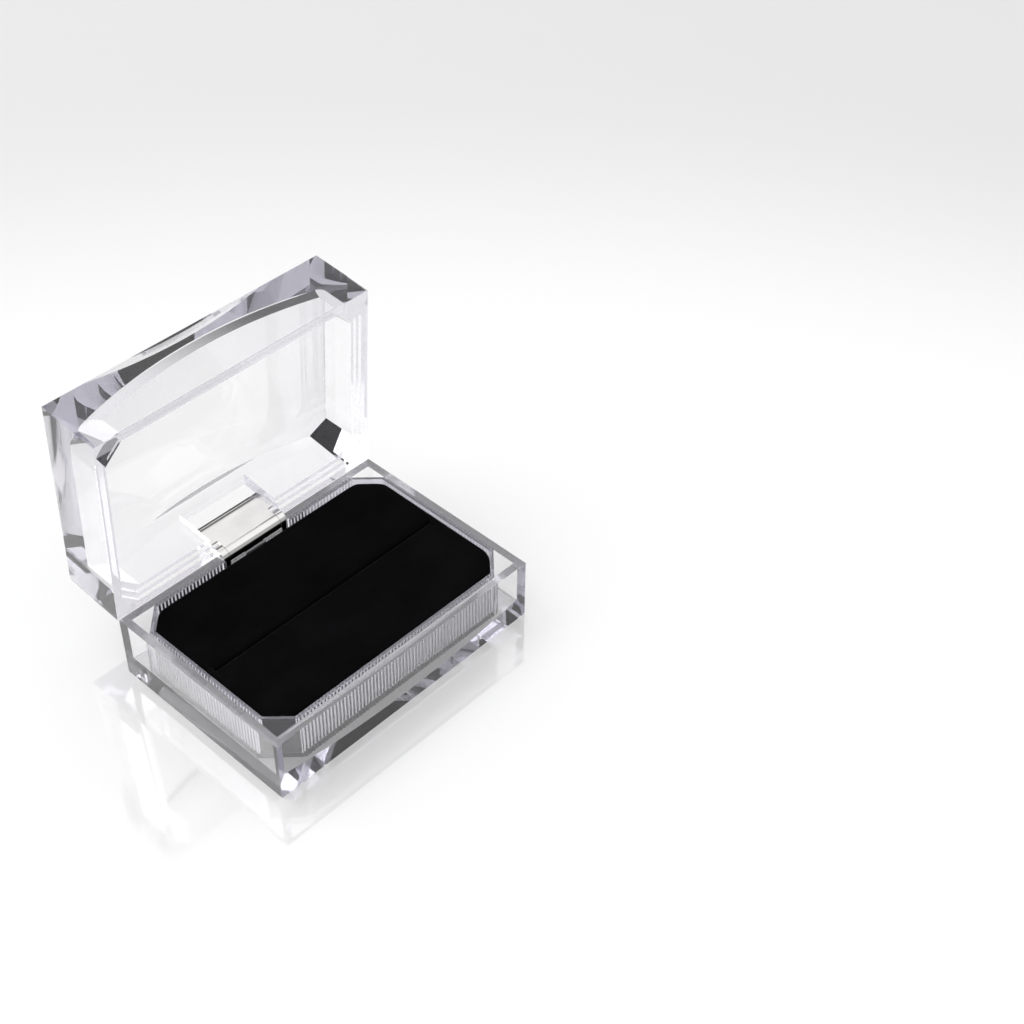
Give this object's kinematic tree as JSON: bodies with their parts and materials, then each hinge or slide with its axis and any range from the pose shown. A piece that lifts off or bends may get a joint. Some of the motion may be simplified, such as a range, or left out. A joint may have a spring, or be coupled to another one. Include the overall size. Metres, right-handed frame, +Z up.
{
  "type": "ring display box",
  "caption": "Clear hinged ring display box, standing open: ribbed liner and slit black velvet pad in the base, hollow lid on a sprung metal hinge.",
  "frame": {"origin": "middle of the base's underside", "axes": "+X along the box's length, +Y from the opening side to the hinge, +Z up"},
  "size_m": [0.065, 0.0602, 0.0598],
  "materials": {
    "clear_plastic": "clear, polished, faintly violet",
    "liner_plastic": "clear, polished, faintly violet",
    "card": "black card, matt",
    "foam": "black foam, matt",
    "velvet": "black velvet with a short nap",
    "hinge_metal": "polished nickel plate",
    "spring_steel": "bright spring steel"
  },
  "bodies": {
    "base": {"base_shell": "clear_plastic", "ribbed_liner": "liner_plastic", "backing_card": "card", "foam_pad": "foam", "velvet_cover": "velvet", "hinge_base_leaf": "hinge_metal", "hinge_pin": "hinge_metal", "snap_spring": "spring_steel"},
    "lid": {"lid_shell": "clear_plastic", "hinge_lid_leaf": "hinge_metal"}
  },
  "joints": [
    {"name": "lid_hinge", "type": "hinge", "parent": "base", "child": "lid", "pos_m": [0, 0.0225, 0.0138], "axis": [1, 0, 0], "range_deg": [0, 86]}
  ]
}
